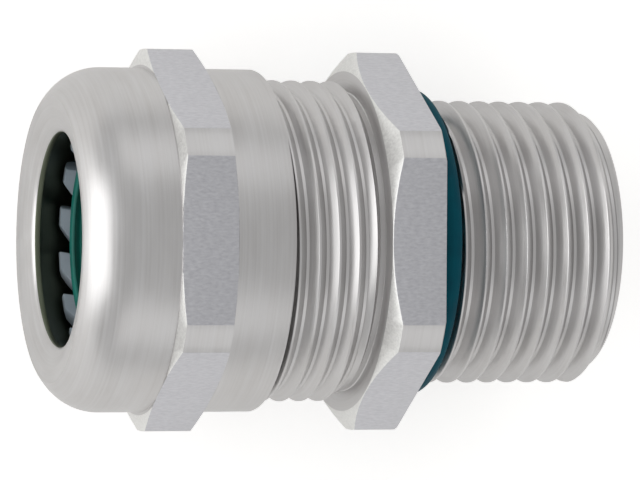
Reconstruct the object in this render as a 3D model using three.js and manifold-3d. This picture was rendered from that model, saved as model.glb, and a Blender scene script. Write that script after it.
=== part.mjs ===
// A metal cable gland with an M20 entry thread, lying on the flats of its two hexagons.
// X is its axis. A cable goes in through the cap nut at -X and leaves through the entry thread at +X.
// Millimetres, +Z up, origin on the axis halfway along the gland.
import * as THREE from "three";
import { mergeVertices } from "three/addons/utils/BufferGeometryUtils.js";
import Module from "manifold-3d";

const wasm = await Module();
wasm.setup();

// Facets
const turnSides = 32; // round surfaces, and each turn of a thread
const arcSteps = 5;
const lipSteps = 3;
const ringSides = 10;

// Clearances and margins between what fits together
const insertClearance = 0.3; // cage in body, seal in cage, rib in groove, ring in its recess
const threadRadialClearance = 0.25;
const threadFlankClearance = 0.2;
const mouthMargin = 0.35; // cap's mouth round the clamping thread's crests
const throatMargin = 0.4; // cap's throat round the seal's front
const ridgeFoot = 0.05; // how far a thread's ridge is sunk into its core

// Sealing insert
const sealBoreRadius = 6.3;
const sealWall = 1.3;
const sealFrontWall = 0.7;
const sealSetback = 0.4; // behind the lamellae's tips
const sealRibHeight = 0.3;
const sealRibCount = 6;
const sealCollarLength = 0.9;
const sealCollarInset = 0.25; // inside the cage ring's outside

// Clamping cage
const lamellaCount = 16;
const lamellaLength = 5.8;
const lamellaThickness = 1.1;
const lamellaGap = 0.5;
const lamellaSlant = 1; // how far the tip leans round the axis
const lamellaTipBevel = 0.66;
const lamellaTipCut = 1.3;
const lamellaTipCorner = 0.325;
const hingeThickness = 0.6;
const hingeLength = 0.6;
const hingeGap = 0.3; // the living hinge's own length
const cageRingLength = 3.2;
const cageRingThickness = 1.25;
const ribCount = 8;
const ribHeight = 0.5;
const ribWidth = 1.2;
const ribInset = 0.4;

// Gland body
const mouthToHex = 11.15;
const hexThickness = 3.85;
const entryLength = 14;
const bodyWall = 1.2; // round the counterbore, inside the clamping thread
const throughBoreRadius = 7.1;
const entryWall = 1.98; // round the through bore, inside the entry thread
const entryEndDepth = 0.18; // the lead-in's end, below the entry thread's root
const endBreak = 0.4;
const neckDepth = 0.15;
const neckLength = 0.5;
const runOut = 0.5;
const seatRecess = 0.15; // shallow floor that the entry ring sits in
const reliefDepth = 0.28;
const reliefLength = 1.95;
const bodyHexFaceInset = 0.05;
const bodyHexChamfer = 0.76;

// Threads: the ridge's width at its crest and at its root. A crest crosses +Y at crestOffset from the start.
const clampThread = {
  pitch: 25.4 / 18,
  depth: 0.6,
  crestWidth: 0.2,
  rootWidth: 1.2,
  crestOffset: 0.25,
};
const entryThread = {
  pitch: 1.5,
  depth: 0.92,
  crestWidth: 0.19,
  rootWidth: 1.25,
  crestOffset: 0.25,
};

// Cap nut
const capLength = 14.8;
const capStandoff = 10.4; // its front ahead of the body's mouth, as tightened at rest
const clampTravel = 4.25; // how far the cap and insert go into the body
const capWall = 0.45; // outside its thread's deepest cut
const domeRadius = 3.9;
const lipRadius = 0.7;
const throatLength = 1.6;
const coneLength = 3.8;
const coneToTips = 1.6; // from the cone's start to the lamellae's tips
const threadRelief = 0.2; // from the cone's end to the thread
const capHexStart = 6.8;
const capHexLength = 3.9;
const capHexFaceMargin = 0.16;
const capHexChamfer = 0.3;
const collarBreak = 0.15;

// Both hexagons
const flatMargin = 0.05; // flats outside the cap's round surface
const cornerHeight = 1.28; // turned corners above the flats

// Entry ring
const ringSection = 1.76;
const ringLift = 0.04; // its inside above the entry thread's root

// Radii that fit to each other, from the bore outwards
const cageSides = 3 * lamellaCount;
const sealFrontRadius = sealBoreRadius + sealFrontWall;
const sealRadius = sealBoreRadius + sealWall;
const lamellaInnerRadius = sealRadius + insertClearance;
const cageRingRadius = lamellaInnerRadius + cageRingThickness;
const sealCollarRadius = cageRingRadius - sealCollarInset;
const counterboreRadius = cageRingRadius + insertClearance;
const ribRadius = cageRingRadius + ribHeight;
const grooveRadius = ribRadius + insertClearance;
const clampCoreRadius = counterboreRadius + bodyWall;
const clampCrestRadius = clampCoreRadius + clampThread.depth;
const neckRadius = clampCoreRadius - neckDepth;
const entryCoreRadius = throughBoreRadius + entryWall;
const entryCrestRadius = entryCoreRadius + entryThread.depth;
const entryEndRadius = entryCoreRadius - entryEndDepth;
const reliefRadius = entryCoreRadius - reliefDepth;
const ringInnerRadius = entryCoreRadius + ringLift;
const ringOuterRadius = ringInnerRadius + ringSection;
const throatRadius = sealFrontRadius + throatMargin;
const capBoreRadius = clampCoreRadius + threadRadialClearance;
const capGrooveRadius = clampCrestRadius + threadRadialClearance;
const capMouthRadius = clampCrestRadius + mouthMargin;
const capRadius = capGrooveRadius + capWall;
const flatRadius = capRadius + flatMargin;
const cornerRadius = flatRadius + cornerHeight;

// Places along the axis
const overallLength = capStandoff + mouthToHex + hexThickness + entryLength;
const capFrontX = -overallLength / 2;
const coneStartX = capFrontX + throatLength;
const coneEndX = coneStartX + coneLength;
const mouthX = capFrontX + capStandoff;
const hexFrontX = mouthX + mouthToHex;
const seatX = hexFrontX + hexThickness;
const endX = seatX + entryLength;
const ringX = seatX + ringSection / 2;
const lamellaFrontX = coneStartX + coneToTips;
const lamellaRootX = lamellaFrontX + lamellaLength;
const cageRingX = lamellaRootX + hingeGap;
const cageRingEndX = cageRingX + cageRingLength;
const sealFrontX = lamellaFrontX + sealSetback;
const sealCollarX = cageRingEndX + insertClearance;
const sealEndX = sealCollarX + sealCollarLength;
const conicalSeatX = sealEndX + clampTravel + insertClearance;

const stainlessSteel = new THREE.MeshStandardMaterial({ color: "#b5b4b1", metalness: 0.9, roughness: 0.35 });
const greyPolyamide = new THREE.MeshStandardMaterial({ color: "#7b858d", metalness: 0, roughness: 0.5 });
const greenElastomer = new THREE.MeshStandardMaterial({ color: "#177064", metalness: 0, roughness: 0.6 });
const tealElastomer = new THREE.MeshStandardMaterial({ color: "#003c45", metalness: 0, roughness: 0.55 });

// A closed geometry as a manifold-3d solid.
function solid(geometry) {
  const bare = geometry.clone();
  bare.deleteAttribute("normal");
  bare.deleteAttribute("uv");
  const merged = mergeVertices(bare, 1e-4);
  const vertProperties = merged.attributes.position.array;
  const triVerts = new Uint32Array(merged.index.array);
  return new wasm.Manifold(new wasm.Mesh({ numProp: 3, vertProperties, triVerts }));
}

function meshOf(name, made, material) {
  const { vertProperties, triVerts } = made.getMesh();
  const geometry = new THREE.BufferGeometry();
  geometry.setAttribute("position", new THREE.BufferAttribute(vertProperties, 3));
  geometry.setIndex(new THREE.BufferAttribute(triVerts, 1));
  geometry.computeVertexNormals();
  const mesh = new THREE.Mesh(geometry, material);
  mesh.name = name;
  return mesh;
}

// A solid turned about X from [x, radius] points. The outside wall runs towards +X.
// A profile off the axis closes on itself.
function turned(profile, sides = turnSides) {
  const points = profile.map(([x, radius]) => new THREE.Vector2(radius, x));
  if (profile[0][1] > 0) {
    points.push(points[0].clone());
  }
  return solid(new THREE.LatheGeometry(points, sides).rotateZ(-Math.PI / 2));
}

// Points on an arc in the profile's plane, with angles in quarter turns from +X towards larger radius.
function arc(x, radius, size, from, to, steps = arcSteps) {
  return Array.from({ length: steps + 1 }, (_, i) => {
    const angle = ((from + ((to - from) * i) / steps) * Math.PI) / 2;
    return [x + size * Math.cos(angle), radius + size * Math.sin(angle)];
  });
}

// A hexagon bar with flats towards +Z and -Z.
function hexagon(fromX, toX) {
  const corner = (2 * flatRadius) / Math.sqrt(3);
  const bar = new THREE.CylinderGeometry(corner, corner, toX - fromX, 6, 1, false, Math.PI / 6);
  return solid(bar.rotateZ(-Math.PI / 2).translate((fromX + toX) / 2, 0, 0));
}

// A box from its middle, turned about X to stand at an angle from +Z.
function boxAt(x, radius, sizeX, sizeAcross, sizeRadial, angle) {
  const box = new THREE.BoxGeometry(sizeX, sizeAcross, sizeRadial);
  return solid(box.translate(x, 0, radius).rotateX(angle));
}

// A right-hand screw ridge: a bar of trapezoid section bent round the axis. Its crest crosses +Y at crestX.
function ridge(pitch, crestX, fromX, toX, section) {
  const step = (2 * Math.PI) / turnSides;
  const firstStep = Math.floor(((fromX - crestX) / pitch) * turnSides);
  const lastStep = Math.ceil(((toX - crestX) / pitch) * turnSides);
  const steps = lastStep - firstStep;
  const bar = new THREE.BoxGeometry(1, 1, 1, steps, 1, 1);
  const place = bar.attributes.position;
  for (let i = 0; i < place.count; i += 1) {
    const angle = (firstStep + (place.getX(i) + 0.5) * steps) * step;
    const atCrest = place.getY(i) > 0;
    const radius = atCrest ? section.crestRadius : section.footRadius;
    const width = atCrest ? section.crestWidth : section.footWidth;
    const x = crestX + (pitch * angle) / (2 * Math.PI) - place.getZ(i) * width;
    place.setXYZ(i, x, radius * Math.cos(angle), radius * Math.sin(angle));
  }
  return solid(bar);
}

// The ridge of a male thread, cut to an envelope that gives it its chamfer and run-out.
function maleThread(thread, coreRadius, startX, fromX, toX, envelope) {
  const section = {
    crestRadius: coreRadius + thread.depth,
    crestWidth: thread.crestWidth,
    footRadius: coreRadius - ridgeFoot,
    footWidth: thread.rootWidth,
  };
  const bar = ridge(thread.pitch, startX + thread.crestOffset, fromX, toX, section);
  return bar.intersect(turned(envelope));
}

function glandBody() {
  const neckX = hexFrontX - neckLength;
  const clampTop = clampCrestRadius + ridgeFoot;
  const entryTop = entryCrestRadius + ridgeFoot;
  const reliefEndX = seatX + reliefLength;
  const core = turned([
    [mouthX, 0],
    [mouthX, clampCoreRadius - ridgeFoot],
    [mouthX + ridgeFoot, clampCoreRadius],
    [neckX, clampCoreRadius],
    [neckX, neckRadius],
    [hexFrontX + endBreak, neckRadius],
    [hexFrontX + endBreak, reliefRadius],
    [reliefEndX, reliefRadius],
    [reliefEndX + runOut, entryCoreRadius],
    [endX - (entryCoreRadius - entryEndRadius), entryCoreRadius],
    [endX, entryEndRadius],
    [endX, 0],
  ]);
  const clampRidge = maleThread(clampThread, clampCoreRadius, mouthX, mouthX - runOut, neckX, [
    [mouthX, 0],
    [mouthX, clampCoreRadius],
    [mouthX + clampTop - clampCoreRadius, clampTop],
    [neckX - runOut, clampTop],
    [neckX, clampCoreRadius],
    [neckX, 0],
  ]);
  const entryRidge = maleThread(entryThread, entryCoreRadius, seatX, reliefEndX, endX + runOut, [
    [reliefEndX, 0],
    [reliefEndX, reliefRadius],
    [reliefEndX + entryTop - reliefRadius, entryTop],
    [endX - (entryTop - entryEndRadius), entryTop],
    [endX, entryEndRadius],
    [endX, 0],
  ]);
  const hex = hexagon(hexFrontX, seatX)
    .intersect(
      turned([
        [hexFrontX, 0],
        [hexFrontX, flatRadius - bodyHexFaceInset],
        [hexFrontX + bodyHexChamfer, cornerRadius],
        [seatX, cornerRadius],
        [seatX, 0],
      ]),
    )
    .subtract(
      turned([
        [seatX - seatRecess, 0],
        [seatX - seatRecess, ringOuterRadius + insertClearance],
        [seatX + seatRecess, ringOuterRadius + insertClearance],
        [seatX + seatRecess, 0],
      ]),
    );
  const bore = turned([
    [mouthX - endBreak, 0],
    [mouthX - endBreak, counterboreRadius + 2 * endBreak],
    [mouthX + endBreak, counterboreRadius],
    [conicalSeatX, counterboreRadius],
    [conicalSeatX + counterboreRadius - throughBoreRadius, throughBoreRadius],
    [endX - endBreak, throughBoreRadius],
    [endX + endBreak, throughBoreRadius + 2 * endBreak],
    [endX + endBreak, 0],
  ]);
  let body = core.add(hex).add(clampRidge).add(entryRidge).subtract(bore);
  const grooveLength = conicalSeatX - mouthX + endBreak;
  for (let i = 0; i < ribCount; i += 1) {
    const x = conicalSeatX - grooveLength / 2;
    const angle = ((i + 0.5) * 2 * Math.PI) / ribCount;
    const depth = grooveRadius - lamellaInnerRadius;
    const middle = (grooveRadius + lamellaInnerRadius) / 2;
    body = body.subtract(boxAt(x, middle, grooveLength, ribWidth + 2 * insertClearance, depth, angle));
  }
  return body;
}

function capNut() {
  const hexFront = capFrontX + capHexStart;
  const hexBack = hexFront + capHexLength;
  const back = capFrontX + capLength;
  const shell = turned([
    ...arc(capFrontX + lipRadius, throatRadius + lipRadius, lipRadius, 3, 2, lipSteps),
    ...arc(capFrontX + domeRadius, capRadius - domeRadius, domeRadius, 2, 1).slice(1),
    [back - collarBreak, capRadius],
    [back, capRadius - collarBreak],
    [back, capMouthRadius],
    [back - (capMouthRadius - capBoreRadius), capBoreRadius],
    [coneEndX, capBoreRadius],
    [coneStartX, throatRadius],
  ]);
  const hex = hexagon(hexFront, hexBack).intersect(
    turned([
      [hexFront, capBoreRadius + ridgeFoot],
      [hexFront, flatRadius + capHexFaceMargin],
      [hexFront + capHexChamfer, cornerRadius],
      [hexBack - capHexChamfer, cornerRadius],
      [hexBack, flatRadius + capHexFaceMargin],
      [hexBack, capBoreRadius + ridgeFoot],
    ]),
  );
  const flankSlope = (clampThread.rootWidth - clampThread.crestWidth) / clampThread.depth;
  const footWidth =
    clampThread.rootWidth - flankSlope * (threadRadialClearance - ridgeFoot) + 2 * threadFlankClearance;
  const groove = ridge(
    clampThread.pitch,
    mouthX + clampThread.crestOffset,
    coneEndX + threadRelief,
    back + clampThread.pitch,
    {
      crestRadius: capGrooveRadius,
      crestWidth: clampThread.crestWidth,
      footRadius: capBoreRadius - ridgeFoot,
      footWidth,
    },
  );
  return shell.add(hex).subtract(groove);
}

function entryRing() {
  const size = ringSection / 2;
  const circle = arc(ringX, ringInnerRadius + size, size, 4, 0, ringSides).slice(1);
  return turned(circle);
}

function cageRing() {
  let ring = turned(
    [
      [cageRingX, lamellaInnerRadius],
      [cageRingX, cageRingRadius],
      [cageRingEndX, cageRingRadius],
      [cageRingEndX, lamellaInnerRadius],
    ],
    cageSides,
  );
  const ribLength = cageRingLength - 2 * ribInset;
  const ribDepth = ribHeight + cageRingThickness / 2;
  for (let i = 0; i < ribCount; i += 1) {
    const x = cageRingX + cageRingLength / 2;
    const middle = ribRadius - ribDepth / 2;
    const angle = ((i + 0.5) * 2 * Math.PI) / ribCount;
    ring = ring.add(boxAt(x, middle, ribLength, ribWidth, ribDepth, angle));
  }
  return ring;
}

function sealingInsert() {
  const ribPitch = (cageRingEndX - sealFrontX) / (sealRibCount + 0.5);
  const innerRibs = Array.from({ length: sealRibCount }, (_, i) => {
    const x = cageRingEndX - (i + 0.5) * ribPitch;
    return [
      [x, sealBoreRadius],
      [x - ribPitch / 2, sealBoreRadius - sealRibHeight],
    ];
  }).flat();
  return turned([
    [sealFrontX, sealBoreRadius - sealRibHeight / 2],
    [sealFrontX, sealFrontRadius - insertClearance],
    [sealFrontX + insertClearance, sealFrontRadius],
    [cageRingX, sealRadius],
    [sealCollarX, sealRadius],
    [sealCollarX, sealCollarRadius],
    [sealEndX - sealCollarLength / 2, sealCollarRadius],
    [sealEndX, sealCollarRadius - sealCollarLength / 2],
    [sealEndX, sealBoreRadius],
    ...innerRibs,
  ]);
}

// One lamella standing at +Z: a slanted leaf of the wall, thinned at its hinge. Its sides lie along radii.
function lamella() {
  const middleRadius = lamellaInnerRadius + lamellaThickness / 2;
  const half = (Math.PI * middleRadius) / lamellaCount - lamellaGap / 2;
  const outerRadius = lamellaInnerRadius + lamellaThickness;
  const wall = turned(
    [
      [lamellaFrontX, lamellaInnerRadius],
      [lamellaFrontX, outerRadius - lamellaTipBevel],
      [lamellaFrontX + lamellaTipBevel, outerRadius],
      [lamellaRootX - 2 * hingeLength, outerRadius],
      [lamellaRootX - hingeLength, lamellaInnerRadius + hingeThickness],
      [lamellaRootX, lamellaInnerRadius + hingeThickness],
      [lamellaRootX, lamellaInnerRadius],
    ],
    cageSides,
  );
  const lean = (x) => (lamellaSlant * (lamellaRootX - x)) / lamellaLength;
  const cornerX = lamellaFrontX + lamellaTipCorner;
  const cutX = lamellaFrontX + lamellaTipCut;
  const reach = lamellaThickness;
  const outline = new THREE.Shape(
    [
      [lamellaRootX + reach, -half],
      [lamellaRootX + reach, half],
      [lamellaRootX, half],
      [cornerX, half + lean(cornerX)],
      [lamellaFrontX, half + lean(lamellaFrontX) - lamellaTipCorner],
      [lamellaFrontX, lean(lamellaFrontX)],
      [cutX, lean(cutX) - half],
      [lamellaRootX, -half],
    ].map(([x, across]) => new THREE.Vector2(x, -across)),
  );
  const depth = lamellaThickness + 2 * reach;
  const leaf = new THREE.ExtrudeGeometry(outline, { depth, bevelEnabled: false });
  leaf.translate(0, 0, lamellaInnerRadius - reach);
  const place = leaf.attributes.position;
  for (let i = 0; i < place.count; i += 1) {
    place.setY(i, (place.getY(i) * place.getZ(i)) / middleRadius);
  }
  return wall.intersect(solid(leaf));
}

const gland = new THREE.Group();
gland.add(meshOf("gland_body", glandBody(), stainlessSteel));
gland.add(meshOf("cap_nut", capNut(), stainlessSteel));
gland.add(meshOf("entry_o_ring", entryRing(), tealElastomer));
gland.add(meshOf("cage_ring", cageRing(), greyPolyamide));
gland.add(meshOf("sealing_insert", sealingInsert(), greenElastomer));
for (let i = 0; i < lamellaCount; i += 1) {
  const leaf = meshOf(`lamella_${String(i + 1).padStart(2, "0")}`, lamella(), greyPolyamide);
  leaf.rotation.x = (i * 2 * Math.PI) / lamellaCount;
  gland.add(leaf);
}

export default gland;
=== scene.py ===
# A metal cable gland: cap nut, clamping cage, seal, gland body and entry ring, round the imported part.
import math

import bmesh
import bpy
from mathutils import Matrix, Vector


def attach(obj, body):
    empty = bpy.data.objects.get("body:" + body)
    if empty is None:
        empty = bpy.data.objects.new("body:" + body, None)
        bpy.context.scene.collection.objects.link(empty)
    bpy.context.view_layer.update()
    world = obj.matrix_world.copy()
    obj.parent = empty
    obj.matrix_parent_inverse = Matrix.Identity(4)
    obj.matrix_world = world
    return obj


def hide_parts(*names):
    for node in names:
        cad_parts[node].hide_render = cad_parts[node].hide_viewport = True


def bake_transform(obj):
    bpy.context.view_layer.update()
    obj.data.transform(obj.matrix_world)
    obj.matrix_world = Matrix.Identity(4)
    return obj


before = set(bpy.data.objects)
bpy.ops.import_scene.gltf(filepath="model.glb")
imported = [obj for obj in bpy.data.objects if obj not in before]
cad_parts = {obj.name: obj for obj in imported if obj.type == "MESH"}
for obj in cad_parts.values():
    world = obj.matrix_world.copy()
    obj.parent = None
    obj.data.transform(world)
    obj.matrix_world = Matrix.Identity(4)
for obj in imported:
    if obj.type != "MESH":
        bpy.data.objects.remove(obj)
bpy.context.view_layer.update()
print("frame loaded")

mm = 0.001
spinSteps = 180


def linear(text):
    # sRGB hex to linear
    values = [int(text[i:i + 2], 16) / 255 for i in (1, 3, 5)]
    return [v / 12.92 if v <= 0.04045 else ((v + 0.055) / 1.055) ** 2.4 for v in values] + [1]


def addNode(tree, kind, inputs=None, **settings):
    node = tree.nodes.new(kind)
    for name, value in settings.items():
        setattr(node, name, value)
    for key, value in (inputs or {}).items():
        if isinstance(value, bpy.types.NodeSocket):
            tree.links.new(value, node.inputs[key])
        else:
            node.inputs[key].default_value = value
    return node


def newMaterial(name):
    material = bpy.data.materials.new(name)
    material.use_nodes = True
    tree = material.node_tree
    tree.nodes.clear()
    return material, tree


def finishMaterial(tree, shader):
    addNode(tree, "ShaderNodeOutputMaterial", {"Surface": shader.outputs[0]})


def roundAxis(tree):
    # position as (along the axis, distance from it, angle round it), in mm and radians
    place = addNode(tree, "ShaderNodeTexCoord")
    parts = addNode(tree, "ShaderNodeSeparateXYZ", {0: place.outputs["Object"]})
    x, y, z = parts.outputs
    flat = addNode(tree, "ShaderNodeCombineXYZ", {"Y": y, "Z": z})
    radius = addNode(tree, "ShaderNodeVectorMath", {0: flat.outputs[0]}, operation="LENGTH")
    angle = addNode(tree, "ShaderNodeMath", {0: y, 1: z}, operation="ARCTAN2")
    along = addNode(tree, "ShaderNodeMath", {0: x, 1: 1 / mm}, operation="MULTIPLY")
    out = addNode(tree, "ShaderNodeMath", {0: radius.outputs["Value"], 1: 1 / mm}, operation="MULTIPLY")
    rounds = {0: along.outputs[0], 1: out.outputs[0], 2: angle.outputs[0]}
    return place, addNode(tree, "ShaderNodeCombineXYZ", rounds)


def stretched(tree, vector, scale, detail=2.0, roughness=0.5):
    moved = addNode(tree, "ShaderNodeVectorMath", {0: vector, 1: scale}, operation="MULTIPLY")
    return addNode(
        tree, "ShaderNodeTexNoise",
        {"Vector": moved.outputs[0], "Scale": 1.0, "Detail": detail, "Roughness": roughness},
    )


def spread(tree, value, low, high):
    # noise keeps near its middle, so its inner part is spread over the whole range
    inner = {"Value": value, "From Min": 0.3, "From Max": 0.7, "To Min": low, "To Max": high}
    return addNode(tree, "ShaderNodeMapRange", inner)


def toneBetween(tree, value, dark, light):
    share = spread(tree, value, 0, 1)
    ends = {0: share.outputs[0], 6: linear(dark), 7: linear(light)}
    return addNode(tree, "ShaderNodeMix", ends, data_type="RGBA").outputs[2]


def bumped(tree, height, depth):
    # depth in mm
    return addNode(tree, "ShaderNodeBump", {"Height": height, "Strength": 1.0, "Distance": depth * mm}).outputs[0]


turnedLook = {
    "light": "#d3d2d2",
    "dark": "#c4c2c1",
    "roughness": (0.30, 0.42),
    "feed": 7.0,  # lines per mm; a lathe leaves about 12, drawn coarser so that they show
    "bump": 0.0035,  # mm
}


def turnedSteel(name, look):
    material, tree = newMaterial(name)
    place, rounds = roundAxis(tree)
    lines = stretched(tree, rounds.outputs[0], (look["feed"], look["feed"], 0.8))
    wide = stretched(tree, rounds.outputs[0], (0.9, 0.9, 2.5), 3.0)
    grain = stretched(tree, place.outputs["Object"], (9000, 9000, 9000), 1.0)
    mixed = addNode(tree, "ShaderNodeMath", {0: lines.outputs[0], 1: wide.outputs[0]}, operation="ADD")
    half = addNode(tree, "ShaderNodeMath", {0: mixed.outputs[0], 1: 0.5}, operation="MULTIPLY").outputs[0]
    ridges = {0: grain.outputs[0], 1: 0.5, 2: lines.outputs[0]}
    heights = addNode(tree, "ShaderNodeMath", ridges, operation="MULTIPLY_ADD")
    shader = addNode(tree, "ShaderNodeBsdfPrincipled", {
        "Base Color": toneBetween(tree, half, look["dark"], look["light"]),
        "Metallic": 1.0,
        "Roughness": spread(tree, half, *look["roughness"]).outputs[0],
        "Normal": bumped(tree, heights.outputs[0], look["bump"]),
    })
    finishMaterial(tree, shader)
    return material


# steel for the throat, painted darker and green: painted shade and a painted reflection of the seal
throatShadeLook = dict(turnedLook, light="#747a68", dark="#62695a")
drawnLook = {
    "light": "#d6d6da",
    "dark": "#c4c4c9",
    "roughness": (0.34, 0.5),
    "grain": 6.0,  # per mm, twice as coarse as tumbled bar, so that it shows
    "bump": 0.012,
}
# steel for the hexagons' chamfers, painted pale: a painted highlight
chamferHighlightLook = dict(drawnLook, light="#f3f3f1", dark="#e2e2e0", roughness=(0.45, 0.6))


def grainedSteel(name, look):
    material, tree = newMaterial(name)
    place = addNode(tree, "ShaderNodeTexCoord")
    size = look["grain"] / mm
    along = size * 0.4  # the grain is drawn out along the bar
    grain = stretched(tree, place.outputs["Object"], (along, size, size), 2.0, 0.6).outputs[0]
    shader = addNode(tree, "ShaderNodeBsdfPrincipled", {
        "Base Color": toneBetween(tree, grain, look["dark"], look["light"]),
        "Metallic": 1.0,
        "Roughness": spread(tree, grain, *look["roughness"]).outputs[0],
        "Normal": bumped(tree, grain, look["bump"]),
    })
    finishMaterial(tree, shader)
    return material


cloudsPerMetre = 500  # clouds about 2 mm across


def mouldedPlastic(name, look):
    material, tree = newMaterial(name)
    place = addNode(tree, "ShaderNodeTexCoord")
    size = look["grain"] / mm
    grain = stretched(tree, place.outputs["Object"], (size, size, size), 2.0).outputs[0]
    cloud = stretched(tree, place.outputs["Object"], (cloudsPerMetre,) * 3, 3.0).outputs[0]
    shader = addNode(tree, "ShaderNodeBsdfPrincipled", {
        "Base Color": toneBetween(tree, cloud, look["dark"], look["light"]),
        "Roughness": spread(tree, cloud, *look["roughness"]).outputs[0],
        "Normal": bumped(tree, grain, look["bump"]),
        "IOR": 1.5,
        "Specular IOR Level": look["specular"],
    })
    finishMaterial(tree, shader)
    return material


polyamideLook = {
    "light": "#aeb9c3", "dark": "#9da9b3", "roughness": (0.42, 0.55), "grain": 5, "bump": 0.006, "specular": 0.5,
}
greenLook = {
    "light": "#187065", "dark": "#0f5d53", "roughness": (0.42, 0.58), "grain": 4, "bump": 0.004, "specular": 0.35,
}
tealLook = {
    "light": "#004e5c", "dark": "#004150", "roughness": (0.5, 0.65), "grain": 4, "bump": 0.003, "specular": 0.08,
}
# Stainless steel, lathe-turned and lightly tumbled: satin, with faint rings round the axis
steel = turnedSteel("turned_stainless_steel", turnedLook)
# The same steel in the throat, painted darker with a green cast: painted shade and a painted reflection of the green
# seal inside
throat = turnedSteel("throat_painted_shade_steel", throatShadeLook)
# Cold-drawn stainless bar, tumbled: a fine even grain with no turning rings, on the hexagons' flats
flats = grainedSteel("drawn_stainless_flats", drawnLook)
# Steel on the hexagons' chamfers, pale and grainy: the pale colour is a painted highlight for the bright light they
# reflect
chamferHighlight = grainedSteel("chamfer_painted_highlight_steel", chamferHighlightLook)
# Moulded polyamide 6, spark-eroded mould: matt blue-grey with a fine grain
polyamide = mouldedPlastic("moulded_grey_polyamide", polyamideLook)
# Moulded nitrile rubber: smooth, satin, slightly cloudy with bloom
greenRubber = mouldedPlastic("moulded_green_nitrile", greenLook)
tealRubber = mouldedPlastic("moulded_teal_nitrile", tealLook)
print("materials made")


def drawLine(bm, line, closed=False):
    points = [bm.verts.new((x, r, 0)) for x, r in line]
    pairs = list(zip(points, points[1:] + points[:1] if closed else points[1:]))
    return points + [bm.edges.new(pair) for pair in pairs]


def spinLine(bm, line, closed=False):
    made = drawLine(bm, line, closed)
    bmesh.ops.spin(
        bm, geom=made, cent=(0, 0, 0), axis=(1, 0, 0), dvec=(0, 0, 0), angle=math.tau,
        steps=spinSteps, use_merge=True,
    )


def everythingIn(bm):
    return bm.verts[:] + bm.edges[:] + bm.faces[:]


def sharpEdges(bm, bend):
    return [e for e in bm.edges if len(e.link_faces) == 2 and e.calc_face_angle() > bend]


def rounded(bm, edges, offset, segments=2):
    bmesh.ops.bevel(
        bm, geom=edges, offset=offset, segments=segments, affect="EDGES", profile=0.5, material=-1,
    )


def arcPoints(x, r, size, start, end, count):
    # angles in degrees from +X towards larger radius
    turns = [math.radians(start + (end - start) * i / count) for i in range(count + 1)]
    return [(x + size * math.cos(a), r + size * math.sin(a)) for a in turns]


def addFrom(bm, other):
    spare = bpy.data.meshes.new("spare")
    other.to_mesh(spare)
    bm.from_mesh(spare)
    bpy.data.meshes.remove(spare)
    other.free()


def threadTube(thread, fromX, toX, limit):
    # one turn of a long toothed line, climbing one pitch, meets its own start and makes the whole thread
    bm = bmesh.new()
    pitch, crest, root = thread["pitch"], thread["crest"], thread["root"]
    soft, worn = thread["softness"], 0.15  # corners rounded by soft, and the crest worn a little
    drop = math.copysign(soft, crest - root)
    top, foot, middle = thread["crestWidth"] / 2, (pitch - thread["rootWidth"]) / 2, pitch / 2
    tooth = [
        (-top - soft, crest - drop), (-top, crest - drop * worn),
        (top, crest - drop * worn), (top + soft, crest - drop),
        (middle - foot - soft, root + drop), (middle - foot, root),
        (middle + foot, root), (middle + foot + soft, root + drop),
    ]
    first = math.floor((fromX - thread["crestX"]) / pitch) - 2
    last = math.ceil((toX - thread["crestX"]) / pitch) + 1
    line = [(thread["crestX"] + k * pitch + x, r) for k in range(first, last + 1) for x, r in tooth]
    made = drawLine(bm, line)
    bmesh.ops.spin(
        bm, geom=made, cent=(0, 0, 0), axis=(1, 0, 0), dvec=(pitch / spinSteps, 0, 0), angle=math.tau,
        steps=spinSteps, use_merge=False,
    )
    bmesh.ops.remove_doubles(bm, verts=bm.verts, dist=0.002)
    for x, side in ((fromX, -1), (toX, 1)):
        bmesh.ops.bisect_plane(
            bm, geom=everythingIn(bm), plane_co=(x, 0, 0), plane_no=(side, 0, 0), clear_outer=True,
        )
    for vertex in bm.verts:
        radius = math.hypot(vertex.co.y, vertex.co.z)
        vertex.co.yz = vertex.co.yz * (limit(vertex.co.x, radius) / radius)
    return bm


def finishFaces(bm, slot, fromX, toX, low, high):
    # turned faces between two places and two radii get another finish
    for face in bm.faces:
        middle = face.calc_center_median()
        inside = fromX < middle.x < toX and low < math.hypot(middle.y, middle.z) < high
        if inside and face.material_index == 0:
            face.material_index = slot


def joinRings(bm, x, reach=0.09):
    rims = [e for e in bm.edges if e.is_boundary]
    near = [e for e in rims if abs((e.verts[0].co.x + e.verts[1].co.x) / 2 - x) < reach]
    bmesh.ops.bridge_loops(bm, edges=near)


def cutFlats(bm, apothem, softening):
    for k in range(6):
        normal = Vector((0, math.sin(k * math.pi / 3), math.cos(k * math.pi / 3)))
        cut = bmesh.ops.bisect_plane(
            bm, geom=everythingIn(bm), plane_co=normal * apothem, plane_no=normal, clear_outer=True,
        )
        edges = [e for e in cut["geom_cut"] if isinstance(e, bmesh.types.BMEdge) and e.is_boundary]
        bmesh.ops.edgeloop_fill(bm, edges=edges, mat_nr=1, use_smooth=False)
    rounded(bm, list({e for f in bm.faces if f.material_index == 1 for e in f.edges}), softening)


def makePiece(name, bm, materials, sharp=32):
    bmesh.ops.remove_doubles(bm, verts=bm.verts, dist=0.001)
    bmesh.ops.recalc_face_normals(bm, faces=bm.faces)
    bmesh.ops.scale(bm, vec=(mm, mm, mm), verts=bm.verts)
    mesh = bpy.data.meshes.new(name)
    openEdges = sum(e.is_boundary for e in bm.edges)
    bm.to_mesh(mesh)
    bm.free()
    mesh.shade_smooth()
    mesh.set_sharp_from_angle(angle=math.radians(sharp))
    piece = bpy.data.objects.new(name, mesh)
    bpy.context.scene.collection.objects.link(piece)
    for material in materials:
        mesh.materials.append(material)
    print(name, "faces", len(mesh.polygons), "open edges", openEdges)
    return piece


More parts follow.
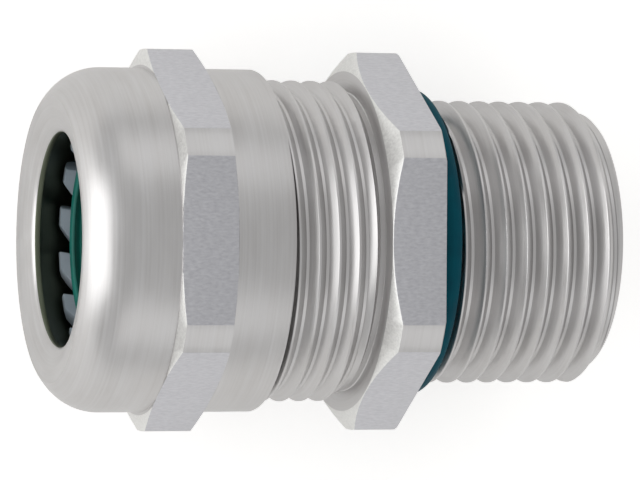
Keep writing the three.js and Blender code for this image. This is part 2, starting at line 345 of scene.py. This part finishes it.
# Places along the axis and radii in mm, as the part has them
capFront, capBack, mouth, hexFront, seat, end = -19.7, -4.9, -9.3, 1.85, 5.7, 19.7

capSizes = {
    "round": 11.95, "dome": 3.9, "domeFrom": 151.6, "throat": 7.4, "bore": 10.9, "mouth": 11.6,
    "coneStart": -18.1, "coneEnd": -14.3, "hexFrom": -12.9, "hexTo": -9.0, "lipDepth": 1.25,
    "hexFace": 12.16, "corner": 13.28, "chamfer": 0.3, "apothem": 12.0, "softening": 0.05,
    # rolled lip and slightly dished front ring, as (behind the front, radius)
    "lip": [
        (1.37, 7.42), (1.25, 7.47), (1.09, 7.62), (0.96, 7.88), (0.9, 8.06), (0.8, 8.18), (0.56, 9.42), (0.5, 9.66),
    ],
    # hollow corner between the hexagon and the round, as (away from the hexagon, above the round)
    "hollow": [(0.12, 0), (0.02, 0.03), (0, 0.1)],
}
clampInside = {
    "pitch": 25.4 / 18, "crestX": mouth + 0.25, "crest": 11.5, "root": 10.9,
    "crestWidth": 0.25, "rootWidth": 1.1, "softness": 0.05,
}


def makeCap():
    c = capSizes
    bm = bmesh.new()
    line = [(c["coneEnd"] + 0.18, c["bore"]), (c["coneEnd"], c["bore"]), (c["coneStart"], c["throat"])]
    line += [(capFront + x, r) for x, r in c["lip"]]
    line += arcPoints(capFront + c["dome"], c["round"] - c["dome"], c["dome"], c["domeFrom"], 90, 24)
    line += [(c["hexFrom"] - x, c["round"] + r) for x, r in c["hollow"]]
    line += [
        (c["hexFrom"], c["hexFace"]), (c["hexFrom"] + c["chamfer"], c["corner"]),
        (c["hexTo"] - c["chamfer"], c["corner"]), (c["hexTo"], c["hexFace"]),
    ]
    line += [(c["hexTo"] + x, c["round"] + r) for x, r in reversed(c["hollow"])]
    line += [
        (capBack - 0.15, c["round"]), (capBack - 0.04, c["round"] - 0.05), (capBack, c["round"] - 0.15),
        (capBack, c["mouth"]), (capBack - 0.02, c["mouth"] - 0.02),
    ]
    spinLine(bm, line)
    cutFlats(bm, c["apothem"], c["softening"])
    # the hexagon's chamfers take the pale steel, a painted highlight
    finishFaces(bm, 2, c["hexFrom"], c["hexFrom"] + c["chamfer"], c["hexFace"], c["corner"])
    finishFaces(bm, 2, c["hexTo"] - c["chamfer"], c["hexTo"], c["hexFace"], c["corner"])
    # the throat's faces take the darker green steel: painted shade and a painted reflection of the seal
    finishFaces(bm, 3, capFront + c["lipDepth"], c["coneStart"] + 1, 0, c["throat"] + 0.1)
    finishFaces(bm, 3, c["coneStart"] + 0.5, c["coneEnd"] + 0.3, 0, c["bore"] + 0.1)
    threadStart, threadEnd = c["coneEnd"] + 0.2, capBack - 0.04

    def limit(x, radius):
        radius = min(radius, c["bore"] + max(0, x - threadStart) * 0.6)
        return max(radius, c["mouth"] - (capBack - x))

    addFrom(bm, threadTube(clampInside, threadStart, threadEnd, limit))
    joinRings(bm, threadStart)
    joinRings(bm, threadEnd + 0.01)
    piece = makePiece("cap_nut_finish", bm, [steel, flats, chamferHighlight, throat])
    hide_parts("cap_nut")
    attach(piece, "cap")


makeCap()

bodySizes = {
    "counterbore": 9.45, "conicalSeat": -1.45, "bore": 7.1, "break": 0.4, "neck": 10.5, "neckLength": 0.5,
    "hexFace": 11.95, "chamfer": 0.76, "corner": 13.28, "apothem": 12.0, "softening": 0.05,
    "recess": 0.15, "recessRadius": 11.18, "reliefLength": 1.7,
    "relief": 8.8, "clampCore": 10.65, "entryEnd": 8.9, "groove": 9.95, "grooveHalfTurn": 5.4, "grooves": 8,
}
clampOutside = {
    "pitch": 25.4 / 18, "crestX": mouth + 0.25, "crest": 11.25, "root": 10.65,
    "crestWidth": 0.14, "rootWidth": 1.2, "softness": 0.05,
}
entryOutside = {
    "pitch": 1.5, "crestX": seat + 0.25, "crest": 10.0, "root": 9.08,
    "crestWidth": 0.12, "rootWidth": 1.28, "softness": 0.06,
}


def makeBody():
    b = bodySizes
    bm = bmesh.new()
    neckStart, reliefEnd = hexFront - b["neckLength"], seat + b["reliefLength"]
    spinLine(bm, [
        (neckStart + 0.02, b["clampCore"] - 0.02), (neckStart + 0.1, b["neck"]), (hexFront - 0.06, b["neck"]),
        (hexFront, b["neck"] + 0.06), (hexFront, b["hexFace"]), (hexFront + b["chamfer"], b["corner"]),
        (seat - 0.1, b["corner"]), (seat, b["corner"] - 0.14), (seat, b["recessRadius"]),
        (seat - b["recess"], b["recessRadius"]), (seat - b["recess"], b["relief"] + 0.1),
        (seat - b["recess"] + 0.1, b["relief"]), (reliefEnd - 0.02, b["relief"]),
    ])
    cutFlats(bm, b["apothem"], b["softening"])
    # the hexagon's chamfers take the pale steel, a painted highlight
    finishFaces(bm, 2, hexFront, hexFront + b["chamfer"], b["hexFace"], b["corner"])

    def clampLimit(x, radius):
        radius = min(radius, b["clampCore"] + max(0, x - mouth))
        return min(radius, b["clampCore"] + max(0, neckStart - x) * 1.3)

    def entryLimit(x, radius):
        radius = min(radius, b["relief"] + max(0, x - reliefEnd) * 4)
        return min(radius, b["entryEnd"] + max(0, end - x))

    addFrom(bm, threadTube(clampOutside, mouth + 0.02, neckStart, clampLimit))
    addFrom(bm, threadTube(entryOutside, reliefEnd, end - 0.02, entryLimit))
    inside = bmesh.new()
    spinLine(inside, [
        (end, b["entryEnd"]), (end, b["bore"] + b["break"]), (end - b["break"], b["bore"]),
        (b["conicalSeat"] + b["counterbore"] - b["bore"], b["bore"]), (b["conicalSeat"], b["counterbore"]),
        (mouth + b["break"], b["counterbore"]), (mouth, b["counterbore"] + b["break"]), (mouth, b["clampCore"] - 0.02),
    ])
    addFrom(bm, inside)
    joinRings(bm, neckStart)
    joinRings(bm, reliefEnd)
    joinRings(bm, mouth)
    joinRings(bm, end)
    # grooves for the cage ring's ribs, halfway between the hexagon's turns of 45 degrees
    grooved, share = [], 360 / b["grooves"]
    for face in bm.faces:
        middle = face.calc_center_median()
        depth = abs(math.hypot(middle.y, middle.z) - b["counterbore"])
        turn = math.degrees(math.atan2(-middle.y, middle.z))
        off = turn % share - share / 2
        if mouth < middle.x < b["conicalSeat"] and depth < 0.02 and abs(off) < b["grooveHalfTurn"]:
            grooved.append(face)
    raised = bmesh.ops.extrude_face_region(bm, geom=grooved)
    bmesh.ops.delete(bm, geom=grooved, context="FACES_KEEP_BOUNDARY")
    for vertex in (g for g in raised["geom"] if isinstance(g, bmesh.types.BMVert)):
        vertex.co.yz = vertex.co.yz * (b["groove"] / b["counterbore"])
    piece = makePiece("gland_body_finish", bm, [steel, flats, chamferHighlight])
    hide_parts("gland_body")
    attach(piece, "gland")


makeBody()

ringSizes = {"section": 0.88, "middle": 10.0, "x": 6.58, "flash": 0.02, "sides": 60}


def makeRing():
    r = ringSizes
    bm = bmesh.new()
    line = arcPoints(r["x"], r["middle"], r["section"] - r["flash"], 0, 360, r["sides"])[:-1]
    line[r["sides"] // 4] = (r["x"], r["middle"] + r["section"])  # moulding flash round the outside
    spinLine(bm, line, closed=True)
    piece = makePiece("entry_ring_finish", bm, [tealRubber], 80)
    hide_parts("entry_o_ring")
    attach(piece, "gland")


makeRing()

cageSizes = {
    "from": -10.4, "to": -7.2, "inner": 7.9, "outer": 9.15, "rounding": 0.12,
    "ribs": 8, "ribOuter": 9.65, "ribFoot": 8.3, "ribWidth": 1.2, "ribInset": 0.4, "ribRounding": 0.1,
}


def makeCage():
    c = cageSizes
    bm = bmesh.new()
    wall = [(c["from"], c["inner"]), (c["from"], c["outer"]), (c["to"], c["outer"]), (c["to"], c["inner"])]
    spinLine(bm, wall, closed=True)
    bmesh.ops.remove_doubles(bm, verts=bm.verts, dist=0.001)
    rounded(bm, sharpEdges(bm, 1), c["rounding"], 3)
    length = c["to"] - c["from"] - 2 * c["ribInset"]
    height = c["ribOuter"] - c["ribFoot"]
    block = Matrix.Diagonal((length, c["ribWidth"], height, 1))
    place = ((c["from"] + c["to"]) / 2, 0, c["ribOuter"] - height / 2)
    for i in range(c["ribs"]):
        rib = bmesh.ops.create_cube(bm, size=1, matrix=block)["verts"]
        edges = list({e for v in rib for e in v.link_edges})
        bmesh.ops.translate(bm, vec=place, verts=rib)
        turn = Matrix.Rotation((i + 0.5) * math.tau / c["ribs"], 4, "X")
        bmesh.ops.rotate(bm, cent=(0, 0, 0), matrix=turn, verts=rib)
        rounded(bm, edges, c["ribRounding"])
    piece = makePiece("cage_ring_finish", bm, [polyamide])
    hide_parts("cage_ring")
    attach(piece, "insert")


makeCage()

sealSizes = {
    "front": -16.1, "frontInner": 6.12, "frontOuter": 7.0, "outerRolled": 0.28, "innerRolled": 0.2,
    "wall": 7.6, "wallFrom": -10.4, "collarFrom": -6.9, "collar": 8.9, "collarBreak": 0.45, "to": -6.0,
    "bore": 6.3, "ribHeight": 0.13, "ribPitch": 0.42, "firstRib": 0.5,
}


def makeSeal():
    s = sealSizes
    bm = bmesh.new()
    outer, inner, pitch, top = s["outerRolled"], s["innerRolled"], s["ribPitch"], s["bore"] - s["ribHeight"]
    line = arcPoints(s["front"] + outer, s["frontOuter"] - outer, outer, 90, 180, 5)
    line += arcPoints(s["front"] + inner, s["frontInner"] + inner, inner, 180, 270, 4)
    x = s["front"] + s["firstRib"]
    while x < s["collarFrom"] - pitch:
        line += [(x, s["bore"]), (x + pitch * 0.35, s["bore"]), (x + pitch * 0.5, top), (x + pitch * 0.8, top)]
        x += pitch
    line += [
        (s["to"] - inner, s["bore"]), (s["to"], s["bore"] + inner),
        (s["to"], s["collar"] - s["collarBreak"]), (s["to"] - s["collarBreak"], s["collar"]),
        (s["collarFrom"] + 0.1, s["collar"]), (s["collarFrom"], s["collar"] - 0.1),
        (s["collarFrom"], s["wall"]), (s["wallFrom"], s["wall"]),
    ]
    spinLine(bm, line, closed=True)
    piece = makePiece("sealing_insert_finish", bm, [greenRubber])
    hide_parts("sealing_insert")
    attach(piece, "insert")


makeSeal()

lamellaSizes = {
    "count": 16, "front": -16.5, "root": -10.7, "inner": 7.9, "thickness": 1.1, "gap": 0.5, "slant": 1.0,
    "tipBevel": 0.66, "tipCut": 1.3, "hingeThickness": 0.6, "hingeLength": 0.6, "rounding": 0.07,
    "web": 0.3, "webIntoLeaf": 0.1, "webIntoRing": 0.14, "webInset": 0.06, "webNarrowing": 0.08,
}


def wedge(line, half, middle, steps):
    # a closed line spun through the lamella's own share of the circle, standing at +Z
    bm = bmesh.new()
    face = bm.faces.new([bm.verts.new((x, 0, r)) for x, r in line])
    turn = Matrix.Rotation(-half / middle, 4, "X")
    bmesh.ops.rotate(bm, cent=(0, 0, 0), matrix=turn, verts=bm.verts)
    bmesh.ops.spin(
        bm, geom=[face] + face.edges[:] + face.verts[:], cent=(0, 0, 0), axis=(1, 0, 0), dvec=(0, 0, 0),
        angle=2 * half / middle, steps=steps,
    )
    bmesh.ops.recalc_face_normals(bm, faces=bm.faces)
    return bm


def makeLamellae():
    s = lamellaSizes
    middle = s["inner"] + s["thickness"] / 2
    half = math.pi * middle / s["count"] - s["gap"] / 2
    outer = s["inner"] + s["thickness"]
    thin = s["inner"] + s["hingeThickness"]
    bulge = s["tipBevel"] * 0.3
    wall = [
        (s["front"], s["inner"]), (s["front"], outer - s["tipBevel"]), (s["front"] + bulge, outer - bulge),
        (s["front"] + s["tipBevel"], outer), (s["root"] - 2 * s["hingeLength"], outer),
        (s["root"] - s["hingeLength"], thin), (s["root"], thin), (s["root"], s["inner"]),
    ]
    length = s["root"] - s["front"]
    ringFace = s["root"] + s["web"]
    webFrom, webTo = s["root"] - s["webIntoLeaf"], ringFace + s["webIntoRing"]
    low, high = s["inner"] + s["webInset"], thin - s["webInset"]
    webLine = [(webFrom, low), (webFrom, high), (webTo, high), (webTo, low)]
    for i in range(s["count"]):
        name = f"lamella_{i + 1:02d}"
        turn = Matrix.Rotation(i * math.tau / s["count"], 4, "X")
        bm = wedge(wall, half, middle, 10)
        # the tip's trailing corner is cut off at a slant
        side = half / middle
        cutEnd = Vector((s["front"] + s["tipCut"], middle * math.sin(side), middle * math.cos(side)))
        cutStart = Vector((s["front"], 0, middle))
        outwards = Vector((0, math.sin(side * 0.6), math.cos(side * 0.6)))
        normal = (cutStart - cutEnd).cross(outwards).normalized()
        normal *= -1 if normal.x > 0 else 1
        cut = bmesh.ops.bisect_plane(
            bm, geom=everythingIn(bm), plane_co=cutStart, plane_no=normal, clear_outer=True,
        )
        edges = [e for e in cut["geom_cut"] if isinstance(e, bmesh.types.BMEdge)]
        bmesh.ops.edgeloop_fill(bm, edges=edges)
        rounded(bm, sharpEdges(bm, 0.5), s["rounding"])
        for vertex in bm.verts:
            lean = s["slant"] * (s["root"] - vertex.co.x) / length / middle
            vertex.co = Matrix.Rotation(lean, 3, "X") @ vertex.co
        bmesh.ops.rotate(bm, cent=(0, 0, 0), matrix=turn, verts=bm.verts)
        piece = makePiece(f"{name}_finish", bm, [polyamide])
        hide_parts(name)
        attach(piece, name)
        # its living hinge, a thin web between the ring and the lamella
        web = wedge(webLine, half - s["webNarrowing"], middle, 8)
        lengthwise = [e for e in web.edges if abs(e.verts[0].co.x - e.verts[1].co.x) > 0.3]
        bmesh.ops.subdivide_edges(web, edges=lengthwise, cuts=5)
        bmesh.ops.rotate(web, cent=(0, 0, 0), matrix=turn, verts=web.verts)
        hinge = makePiece(f"{name}_hinge", web, [polyamide])
        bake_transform(hinge)


makeLamellae()
print("pieces made")

stageSizes = {"floor": 3.0, "floorAt": -12.0, "floorColour": "#f4f3f1", "floorGlow": 0.46, "glossGlow": 0.18}


def makeFloor():
    s = stageSizes
    bm = bmesh.new()
    bmesh.ops.create_grid(bm, x_segments=1, y_segments=1, size=s["floor"] / 2)
    bmesh.ops.translate(bm, vec=(0, 0, s["floorAt"] * mm), verts=bm.verts)
    mesh = bpy.data.meshes.new("floor")
    bm.to_mesh(mesh)
    bm.free()
    floor = bpy.data.objects.new("floor", mesh)
    bpy.context.scene.collection.objects.link(floor)
    # Pale matt card, a little self-lit for the camera: it reads as white and still takes the shadow
    material, tree = newMaterial("pale_matt_card")
    matt = addNode(tree, "ShaderNodeBsdfDiffuse", {"Color": linear(s["floorColour"])})
    path = addNode(tree, "ShaderNodeLightPath")
    seen, mirrored = path.outputs["Is Camera Ray"], path.outputs["Is Glossy Ray"]
    glow = addNode(tree, "ShaderNodeMath", {0: seen, 1: s["floorGlow"]}, operation="MULTIPLY").outputs[0]
    both = addNode(tree, "ShaderNodeMath", {0: mirrored, 1: s["glossGlow"], 2: glow}, operation="MULTIPLY_ADD")
    light = addNode(tree, "ShaderNodeEmission", {"Color": (1, 1, 1, 1), "Strength": both.outputs[0]})
    finishMaterial(tree, addNode(tree, "ShaderNodeAddShader", {0: matt.outputs[0], 1: light.outputs[0]}))
    mesh.materials.append(material)


makeFloor()


worldLook = {"onObject": 0.56, "seen": 1.0}


def makeWorld():
    world = bpy.data.worlds.new("studio")
    bpy.context.scene.world = world
    world.use_nodes = True
    tree = world.node_tree
    tree.nodes.clear()
    path = addNode(tree, "ShaderNodeLightPath")
    levels = {"Value": path.outputs["Is Camera Ray"], "To Min": worldLook["onObject"], "To Max": worldLook["seen"]}
    strength = addNode(tree, "ShaderNodeMapRange", levels)
    sky = addNode(tree, "ShaderNodeBackground", {"Color": (1, 1, 1, 1), "Strength": strength.outputs[0]})
    addNode(tree, "ShaderNodeOutputWorld", {"Surface": sky.outputs[0]})


makeWorld()

softboxes = {
    "left": {"at": (0.12, 0.45, 0.30), "size": (0.6, 0.3), "radiance": 0.42},
    "right": {"at": (0.12, -0.45, 0.30), "size": (0.6, 0.3), "radiance": 0.42},
    "front": {"at": (-0.42, 0, 0.16), "size": (0.5, 0.36), "radiance": 1.7},
}


def makeSoftboxes():
    for name, box in softboxes.items():
        lamp = bpy.data.lights.new(f"softbox_{name}", "AREA")
        lamp.shape = "RECTANGLE"
        lamp.size, lamp.size_y = box["size"]
        lamp.energy = box["radiance"] * math.pi * lamp.size * lamp.size_y
        light = bpy.data.objects.new(f"softbox_{name}", lamp)
        light.location = box["at"]
        light.rotation_mode = "QUATERNION"
        light.rotation_quaternion = Vector(box["at"]).to_track_quat("Z", "Y")
        light.visible_camera = False
        bpy.context.scene.collection.objects.link(light)


makeSoftboxes()

cameraSizes = {"at": (-0.09096, 0, 0.29743), "aim": (0.00034, 0.00007, 0), "lens": 248.96, "roll": 0.321}


def makeCamera():
    c = cameraSizes
    camera = bpy.data.cameras.new("camera")
    camera.lens, camera.sensor_width = c["lens"], 36
    camera.clip_start, camera.clip_end = 0.01, 10
    view = bpy.data.objects.new("camera", camera)
    back = (Vector(c["at"]) - Vector(c["aim"])).normalized()
    right = Vector((0, 1, 0)).cross(back).normalized()
    up = back.cross(right)
    frameAxes = Matrix((right, up, back)).transposed() @ Matrix.Rotation(math.radians(c["roll"]), 3, "Z")
    view.rotation_mode = "QUATERNION"
    view.rotation_quaternion = frameAxes.to_quaternion()
    view.location = c["at"]
    bpy.context.scene.collection.objects.link(view)
    bpy.context.scene.camera = view


makeCamera()
bpy.context.scene.view_settings.view_transform = "Standard"
print("stage made")

bpy.context.view_layer.update()
